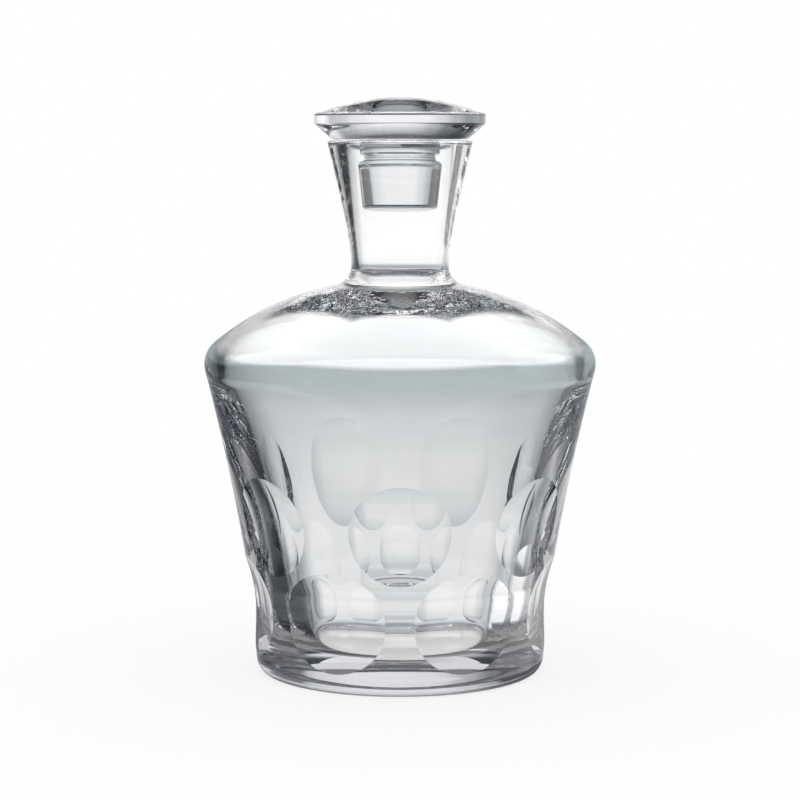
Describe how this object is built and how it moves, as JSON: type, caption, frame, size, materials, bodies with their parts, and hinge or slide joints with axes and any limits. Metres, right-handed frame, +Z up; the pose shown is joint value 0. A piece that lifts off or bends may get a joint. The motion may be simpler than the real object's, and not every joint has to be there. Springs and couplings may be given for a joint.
{
  "type": "whisky decanter",
  "caption": "Heavy clear crystal spirit decanter with broad shoulder, flared neck, staggered rows of ground lens cuts and a loose lift-out mushroom stopper.",
  "frame": {"origin": "middle of the underside, on the surface that the decanter stands on", "axes": "+Z up along the axis of body, neck and stopper; -Y towards the viewer of the picture, where a round lens of the upper row is centred"},
  "size_m": [0.1418, 0.142, 0.2086],
  "materials": {
    "body_crystal": "polished clear crystal",
    "stopper_crystal": "polished clear crystal"
  },
  "bodies": {
    "decanter": {"decanter_body": "body_crystal"},
    "stopper": {"stopper": "stopper_crystal"}
  },
  "joints": [
    {"name": "stopper_lift", "type": "slide", "parent": "decanter", "child": "stopper", "axis": [0, 0, 1], "range_m": [0, 0.1]}
  ]
}
